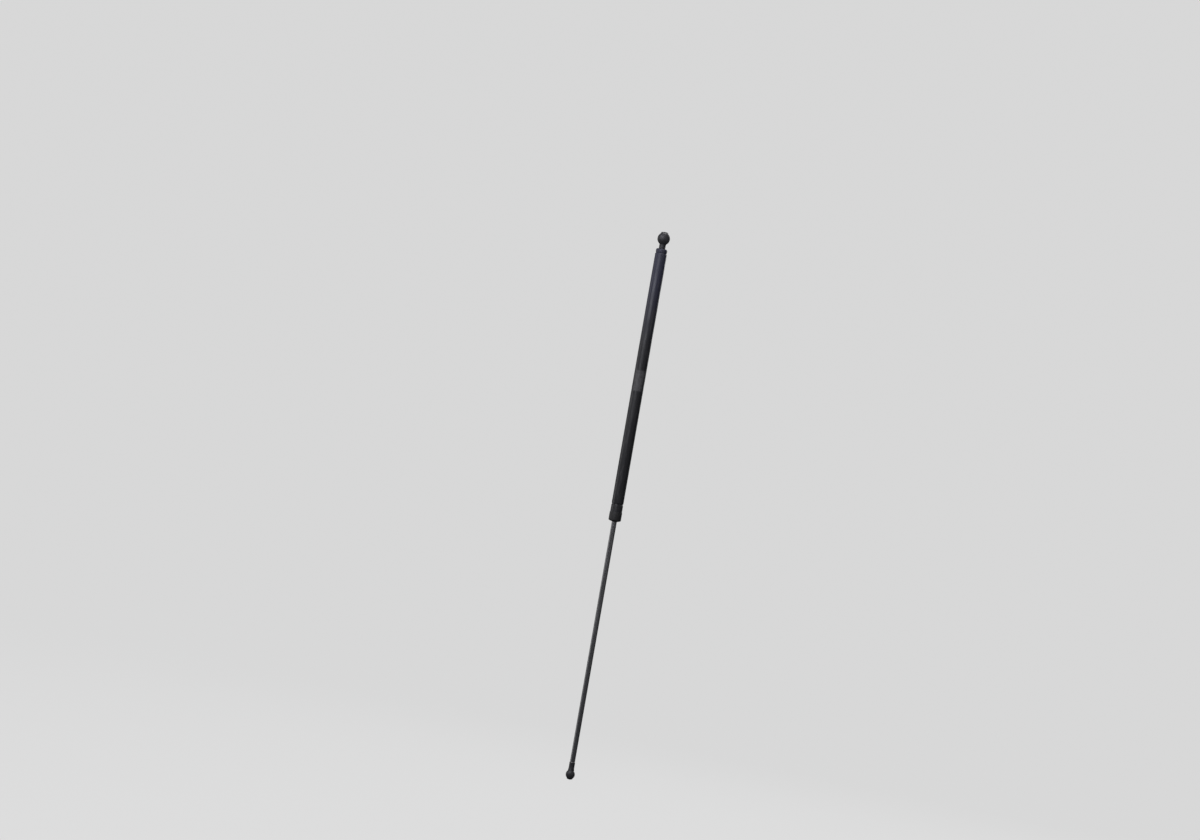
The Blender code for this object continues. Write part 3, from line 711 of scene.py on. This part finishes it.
class Finish:
    """One material, built node by node. The lengths in its patterns are millimetres."""

    def __init__(self, name, **settings):
        self.material = bpy.data.materials.new(name)
        self.material.use_nodes = True
        self.tree = self.material.node_tree
        self.shader = self.tree.nodes["Principled BSDF"]
        for key, value in settings.items():
            self.shader.inputs[key.replace("_", " ").title()].default_value = value
        place = self.node("TexCoord").outputs["Object"]
        self.place = self.node("VectorMath", {0: place, "Scale": 1 / MM}, operation="SCALE").outputs[0]
        self.bumps = None

    def node(self, kind, inputs=None, **settings):
        made = self.tree.nodes.new("ShaderNode" + kind)
        for key, value in settings.items():
            setattr(made, key, value)
        for key, value in (inputs or {}).items():
            self.feed(made.inputs[key], value)
        return made

    def feed(self, socket, value):
        if isinstance(value, bpy.types.NodeSocket):
            self.tree.links.new(value, socket)
        else:
            socket.default_value = value

    def axes(self):
        return self.node("SeparateXYZ", {0: self.place}).outputs

    def stored(self, name):
        """A number that the mesh stores at each point, or 0 where it has none."""
        return self.node("Attribute", attribute_name=name).outputs["Fac"]

    def math(self, operation, a, b=0.0):
        return self.node("Math", {0: a, 1: b}, operation=operation).outputs[0]

    def between(self, value, low, high, start=0.0, end=1.0):
        """value, mapped smoothly from its range low to high onto start to end."""
        inputs = {"Value": value, "From Min": low, "From Max": high, "To Min": start, "To Max": end}
        return self.node("MapRange", inputs, interpolation_type="SMOOTHSTEP").outputs[0]

    def noise(self, size, detail=3.0, stretch=(1, 1, 1), seed=0.0):
        """Cloudy noise whose features are about size across, times the stretch on each axis."""
        scale = [1 / (size * part) for part in stretch]
        place = self.node("Mapping", {"Vector": self.place, "Scale": scale, "Location": [seed] * 3})
        inputs = {"Vector": place.outputs[0], "Scale": 1.0, "Detail": detail, "Roughness": 0.6}
        return self.node("TexNoise", inputs).outputs["Fac"]

    def marks(self, size, detail=2.0):
        """Fine parallel lines about size apart, which lie the way the piece was turned or drawn."""
        inputs = {"W": self.stored("grain"), "Scale": 1 / size, "Detail": detail, "Roughness": 0.7}
        return self.node("TexNoise", inputs, noise_dimensions="1D").outputs["Fac"]

    def specks(self, size, share):
        """1 in small ragged specks about size apart, in drifts. They fill this share of the size."""
        scale = [1 / size] * 3
        place = self.node("Mapping", {"Vector": self.place, "Scale": scale})
        cells = self.node("TexVoronoi", {"Vector": place.outputs[0], "Scale": 1.0})
        ragged = self.math("MULTIPLY", self.noise(size * 0.25, 2.0, seed=6.0), share)
        distance = self.math("ADD", cells.outputs["Distance"], ragged)
        drifts = self.between(self.noise(size * 7, 3.0, seed=14.0), 0.48, 0.66)
        return self.math("MULTIPLY", self.between(distance, share * 1.3, share * 0.8), drifts)

    def mix(self, share, a, b):
        """Colour a where share is 0 and colour b where it is 1."""
        colours = [(*c, 1.0) if isinstance(c, tuple) else c for c in (a, b)]
        inputs = {0: share, 6: colours[0], 7: colours[1]}
        return self.node("Mix", inputs, data_type="RGBA").outputs[2]

    def bump(self, height, depth):
        """Adds relief of this depth to the surface."""
        inputs = {"Height": height, "Distance": depth * MM, "Strength": 1.0}
        if self.bumps:
            inputs["Normal"] = self.bumps
        self.bumps = self.node("Bump", inputs).outputs[0]
        self.feed(self.shader.inputs["Normal"], self.bumps)

    def worn_edges(self, reach=0.55):
        """1 on the outer edges that handling has rubbed bare, in broken stretches."""
        rub = self.math("MULTIPLY", self.stored("edge_wear"), self.noise(1.6, 4.0, seed=7.0))
        return self.between(rub, reach - 0.2, reach + 0.05)

    def set(self, **links):
        for key, value in links.items():
            self.feed(self.shader.inputs[key.replace("_", " ").title()], value)


def black_paint():
    """Stoved black paint on the tube, with painted light that makes its top lighter and bluer: dusty, scuffed
    along its length, chipped at its edges, with a pale patch where a sticker has been."""
    top = extent("pressure_tube")[1].z
    f = Finish("black_paint_worn_and_top_lit", metallic=0.0)
    x, y, z = f.axes()
    tone = f.mix(f.noise(50, 3.0, (1, 1, 3)), (0.013, 0.013, 0.015), (0.028, 0.027, 0.031))
    # painted light: the tube's colour is painted lighter and bluer towards its top, as if lit brighter there
    drift = f.math("MULTIPLY", f.noise(12, 4.0, (1, 1, 4)), 0.3)
    painted_top_light = f.math("ADD", f.between(z, top - PAINTED_LIGHT_DROP, top), drift)
    tone = f.mix(f.between(painted_top_light, 0.1, 1.3), tone, (0.037, 0.037, 0.069))
    dust = f.between(f.noise(7, 6.0, (1, 1, 5), seed=3.0), 0.50, 0.72, 0.0, 0.5)
    tone = f.mix(dust, tone, (0.075, 0.072, 0.074))
    scuffs = f.between(f.noise(0.5, 2.0, (1, 1, 60), seed=11.0), 0.62, 0.72)
    scuffs = f.math("MULTIPLY", scuffs, f.between(f.noise(26, 2.0, seed=5.0), 0.46, 0.62))
    tone = f.mix(f.math("MULTIPLY", scuffs, 0.7), tone, (0.15, 0.15, 0.155))
    ragged = f.math("MULTIPLY", f.noise(3.0, 4.0, seed=2.0), 3.0)
    from_middle = f.math("ABSOLUTE", f.math("SUBTRACT", z, top - PATCH_DROP - PATCH_LENGTH / 2))
    along = f.between(f.math("ADD", from_middle, ragged), PATCH_LENGTH / 2 + 3, PATCH_LENGTH / 2)
    across = f.between(f.math("ADD", f.math("ABSOLUTE", x), ragged), PATCH_HALF + 2.2, PATCH_HALF + 0.6)
    patch = f.math("MULTIPLY", along, f.math("MULTIPLY", across, f.between(y, -1.5, -3.5)))
    blotches = f.between(f.noise(4.0, 4.0, seed=21.0), 0.3, 0.7, 0.35, 0.9)
    patch = f.math("MULTIPLY", patch, blotches)
    tone = f.mix(patch, tone, (0.125, 0.122, 0.128))
    bare = f.math("MAXIMUM", f.worn_edges(0.42), f.specks(5.0, 0.07))
    tone = f.mix(bare, tone, (0.25, 0.245, 0.24))
    gloss = f.between(f.noise(14, 4.0, (1, 1, 3), seed=9.0), 0.3, 0.7, 0.32, 0.52)
    gloss = f.math("ADD", gloss, f.math("MULTIPLY", f.math("ADD", dust, patch), 0.25))
    f.set(base_color=tone, roughness=gloss, metallic=f.math("MULTIPLY", bare, 0.8))
    f.bump(f.noise(1.1, 2.0, seed=1.0), 0.05)
    f.bump(f.math("ADD", scuffs, bare), -0.02)
    return f.material


def dark_rod():
    """Ground and nitrided rod: fine grinding marks round it, draw marks along it and an oil film."""
    f = Finish("dark_rod_nitrided", metallic=0.85)
    film = f.noise(18, 3.0, (1, 1, 4), seed=4.0)
    tone = f.mix(film, (0.155, 0.156, 0.165), (0.250, 0.247, 0.250))
    draw = f.between(f.noise(0.35, 2.0, (1, 1, 120), seed=6.0), 0.62, 0.74)
    draw = f.math("MULTIPLY", draw, f.between(f.noise(40, 2.0, seed=8.0), 0.45, 0.65))
    tone = f.mix(f.math("MULTIPLY", draw, 0.6), tone, (0.33, 0.33, 0.335))
    tone = f.mix(f.worn_edges(), tone, (0.32, 0.32, 0.33))
    grind = f.noise(0.12, 2.0, (40, 40, 1), seed=13.0)
    gloss = f.between(grind, 0.3, 0.7, 0.2, 0.3)
    gloss = f.math("ADD", gloss, f.between(film, 0.35, 0.7, 0.1, -0.04))
    f.set(base_color=tone, roughness=gloss)
    f.bump(grind, 0.002)
    f.bump(draw, -0.003)
    return f.material


def black_steel():
    """Black coated forged steel, with turning marks and the bare metal showing on its edges."""
    f = Finish("black_steel_turned")
    tone = f.mix(f.noise(3.0, 5.0), (0.032, 0.032, 0.037), (0.068, 0.066, 0.070))
    tone = f.mix(f.specks(0.9, 0.2), tone, (0.10, 0.065, 0.045))
    bare = f.worn_edges(0.42)
    tone = f.mix(bare, tone, (0.34, 0.33, 0.32))
    # painted shade: darker where the surface folds inwards, in its creases
    tone = f.mix(f.math("MULTIPLY", f.stored("crease"), 0.6), tone, (0.02, 0.014, 0.01))
    rings = f.marks(0.22)
    gloss = f.between(f.noise(2.2, 4.0, seed=5.0), 0.3, 0.7, 0.34, 0.52)
    gloss = f.math("ADD", gloss, f.between(rings, 0.3, 0.7, -0.06, 0.06))
    metal = f.between(bare, 0.0, 1.0, 0.35, 1.0)
    f.set(base_color=tone, roughness=gloss, metallic=metal)
    f.bump(rings, 0.014)
    f.bump(f.noise(0.35, 3.0, seed=3.0), 0.01)
    return f.material


def zinc_steel():
    """Zinc plated steel with a faint blue and straw passivation, handled and a little dull."""
    f = Finish("zinc_plated_steel", metallic=1.0)
    tone = f.mix(f.noise(5.0, 4.0), (0.50, 0.52, 0.56), (0.63, 0.62, 0.58))
    tone = f.mix(f.between(f.noise(1.1, 5.0, seed=3.0), 0.55, 0.75, 0.0, 0.5), tone, (0.38, 0.38, 0.39))
    tone = f.mix(f.math("MULTIPLY", f.worn_edges(), 0.7), tone, (0.74, 0.74, 0.74))
    # painted shade: darker where the surface folds inwards, in its creases
    tone = f.mix(f.math("MULTIPLY", f.stored("crease"), 0.75), tone, (0.16, 0.15, 0.14))
    rings = f.marks(0.16)
    gloss = f.between(f.noise(2.0, 4.0, seed=9.0), 0.3, 0.7, 0.24, 0.42)
    gloss = f.math("ADD", gloss, f.between(rings, 0.3, 0.7, -0.04, 0.05))
    f.set(base_color=tone, roughness=gloss)
    f.bump(rings, 0.006)
    f.bump(f.noise(0.3, 2.0, seed=2.0), 0.004)
    return f.material


def spring_steel():
    """Drawn spring wire, dark grey, with fine lines along it and brighter rubbed stretches."""
    f = Finish("spring_steel_drawn", metallic=1.0)
    tone = f.mix(f.noise(2.5, 4.0), (0.15, 0.15, 0.16), (0.27, 0.265, 0.26))
    tone = f.mix(f.specks(0.7, 0.15), tone, (0.13, 0.09, 0.065))
    lines = f.marks(0.09)
    gloss = f.between(lines, 0.3, 0.7, 0.28, 0.44)
    tone = f.mix(f.between(lines, 0.55, 0.8, 0.0, 0.5), tone, (0.34, 0.34, 0.345))
    f.set(base_color=tone, roughness=gloss)
    f.bump(lines, 0.006)
    return f.material


def cap_plastic():
    """Moulded black nylon: a fine eroded mould texture, scuffed paler on its edges."""
    f = Finish("cap_plastic_moulded", metallic=0.0)
    tone = f.mix(f.noise(6.0, 4.0), (0.017, 0.017, 0.018), (0.029, 0.028, 0.028))
    tone = f.mix(f.between(f.noise(2.0, 6.0, seed=4.0), 0.56, 0.76, 0.0, 0.5), tone, (0.07, 0.067, 0.064))
    tone = f.mix(f.worn_edges(), tone, (0.11, 0.108, 0.105))
    gloss = f.between(f.noise(3.0, 4.0, seed=6.0), 0.3, 0.7, 0.48, 0.66)
    f.set(base_color=tone, roughness=gloss)
    f.bump(f.noise(0.25, 2.0, seed=1.0), 0.02)
    return f.material


def guide_plastic():
    """Natural acetal, a little stained by oil."""
    f = Finish("guide_plastic_natural", metallic=0.0, subsurface_weight=0.1)
    tone = f.mix(f.noise(4.0, 4.0), (0.78, 0.77, 0.71), (0.68, 0.66, 0.58))
    tone = f.mix(f.between(f.noise(2.0, 5.0, seed=4.0), 0.55, 0.8, 0.0, 0.6), tone, (0.42, 0.37, 0.27))
    f.set(base_color=tone, roughness=f.between(f.noise(1.5, 3.0, seed=2.0), 0.3, 0.7, 0.35, 0.55))
    f.bump(f.noise(0.5, 2.0, (3, 3, 0.3)), 0.006)
    return f.material


def rubber():
    """Nitrile rubber with a bloom and a faint sheen of oil."""
    f = Finish("rubber_nitrile", metallic=0.0)
    tone = f.mix(f.noise(2.0, 5.0), (0.010, 0.010, 0.010), (0.022, 0.021, 0.020))
    tone = f.mix(f.specks(0.6, 0.2), tone, (0.04, 0.038, 0.035))
    f.set(base_color=tone, roughness=f.between(f.noise(1.2, 4.0, seed=5.0), 0.3, 0.7, 0.5, 0.8))
    f.bump(f.noise(0.2, 3.0), 0.01)
    return f.material


def felt():
    """Oiled wool felt, matted and fibrous."""
    f = Finish("felt_oiled", metallic=0.0, sheen_weight=0.4, sheen_roughness=0.6)
    fibres = f.noise(0.25, 4.0, (4, 0.6, 1), seed=2.0)
    tone = f.mix(fibres, (0.22, 0.21, 0.18), (0.44, 0.43, 0.39))
    tone = f.mix(f.between(f.noise(3.0, 3.0), 0.45, 0.7), tone, (0.13, 0.11, 0.08))
    f.set(base_color=tone, roughness=f.between(fibres, 0.2, 0.8, 0.8, 1.0))
    f.bump(fibres, 0.15)
    return f.material


def sintered_iron():
    """Steam treated sintered iron: dark, porous and slightly sparkling."""
    f = Finish("sintered_iron_porous", metallic=0.8)
    pores = f.specks(0.35, 0.3)
    tone = f.mix(f.noise(0.8, 5.0), (0.12, 0.118, 0.115), (0.21, 0.205, 0.2))
    # painted shade: the pores are painted dark, as the shade inside them
    tone = f.mix(pores, tone, (0.03, 0.028, 0.026))
    f.set(base_color=tone, roughness=f.between(f.noise(0.6, 3.0, seed=3.0), 0.3, 0.7, 0.45, 0.7))
    f.bump(pores, -0.04)
    return f.material


def finish_inner_nodes():
    """Gives each CAD node that keeps its shape the finish of its material slot."""
    slots = {part["node"]: part["material_slot"] for part in frame["record"]["subparts"]}
    for name, node in frame["nodes"].items():
        if not node.hide_render:
            for place in node.material_slots:
                place.material = FINISHES[slots[name]]


# ---------------------------------------------------------------- stage, light and camera


def aim(made, target):
    made.rotation_mode = "QUATERNION"
    made.rotation_quaternion = (target - made.location).to_track_quat("-Z", "Y")


def make_stage():
    """A pale floor that curves up into a wall all round. It glows evenly and only the camera sees
    it, so that the dark strut isn't lit from every side."""
    floor_z = cad_box[0].z / MM - FLOOR_DROP
    flat_r, curve_r, wall, steps = 6000, 3500, 9000, 24
    rings = [(0, floor_z), (flat_r / 2, floor_z), (flat_r, floor_z)]
    for i in range(1, steps + 1):
        angle = math.pi / 2 * i / steps
        rings.append((flat_r + curve_r * math.sin(angle), floor_z + curve_r * (1 - math.cos(angle))))
    rings.append((flat_r + curve_r, floor_z + wall))
    mesh = surface("floor", rings)
    mesh.shade_smooth()
    f = Finish("floor_pale", roughness=0.9)
    f.shader.inputs["Specular IOR Level"].default_value = 0.1
    tone = f.mix(f.noise(900, 3.0), (0.040, 0.040, 0.041), (0.052, 0.052, 0.052))
    f.set(base_color=tone)
    f.shader.inputs["Emission Color"].default_value = (1.0, 1.0, 1.0, 1.0)
    f.shader.inputs["Emission Strength"].default_value = FLOOR_GLOW
    mesh.materials.append(f.material)
    floor = scene_object("floor", mesh)
    floor.visible_diffuse = floor.visible_glossy = floor.visible_shadow = False


def area_light(name, place, target, size, power, colour=(1, 1, 1)):
    data = bpy.data.lights.new(name, "AREA")
    data.shape, data.size, data.size_y = "RECTANGLE", *size
    data.energy, data.color = power, colour
    made = bpy.data.objects.new(name, data)
    bpy.context.collection.objects.link(made)
    made.location = place
    made.visible_camera = False
    aim(made, target)


def make_lights(middle):
    """A broad soft key from the upper left, a panel at the far left, a weak fill, a back light and
    one overhead. Places and sizes are in metres."""
    area_light("key", middle + Vector((-1.2, -2.3, 1.4)), middle, (2.4, 2.0), 45, (0.94, 0.95, 1.0))
    area_light("side", middle + Vector((-2.6, 0.3, 0.2)), middle, (1.8, 2.6), 15)
    area_light("fill", middle + Vector((2.2, -2.6, 0.6)), middle, (2.6, 2.2), 4)
    area_light("back", middle + Vector((1.0, 3.0, 1.4)), middle, (2.8, 2.2), 42)
    area_light("top", middle + Vector((0, 0, 2.4)), middle, (1.4, 1.4), 22)
    world = bpy.data.worlds.new("studio")
    bpy.context.scene.world = world
    world.use_nodes = True
    world.node_tree.nodes["Background"].inputs["Color"].default_value = (0.9, 0.93, 1.0, 1.0)
    world.node_tree.nodes["Background"].inputs["Strength"].default_value = 0.07


def make_camera(middle):
    """Looks along the studs, level with the strut, and rolled by the strut's lean."""
    roll = math.radians(LEAN)
    right, up = Vector((math.cos(roll), 0, math.sin(roll))), Vector((-math.sin(roll), 0, math.cos(roll)))
    back = Vector((0, -1, 0))
    distance = VIEW_WIDTH_M * LENS / SENSOR
    data = bpy.data.cameras.new("camera")
    data.lens, data.sensor_width = LENS, SENSOR
    data.clip_end = 60
    camera = bpy.data.objects.new("camera", data)
    bpy.context.collection.objects.link(camera)
    camera.rotation_mode = "QUATERNION"
    camera.rotation_quaternion = Matrix((right, up, back)).transposed().to_quaternion()
    camera.location = middle - right * RIGHT_OF_CENTRE_M + up * BELOW_CENTRE_M + back * distance
    bpy.context.scene.camera = camera


FINISHES = {
    "black_paint": black_paint(),
    "dark_rod": dark_rod(),
    "black_steel": black_steel(),
    "zinc_steel": zinc_steel(),
    "spring_steel": spring_steel(),
    "cap_plastic": cap_plastic(),
    "guide_plastic": guide_plastic(),
    "rubber": rubber(),
    "felt": felt(),
    "sintered_iron": sintered_iron(),
}

make_tube()
make_dust_cap()
make_rod()
for side in JOINTS:
    make_socket(side)
    make_stud(side)
    make_washer(side)
    make_nut(side)
    make_clip(side)
    make_snap_ring(side)
finish_inner_nodes()

strut_middle = (ball_centre(JOINTS["upper"]) + ball_centre(JOINTS["lower"])) / 2 * MM
make_stage()
make_lights(strut_middle)
make_camera(strut_middle)
bpy.context.scene.view_settings.view_transform = "Standard"
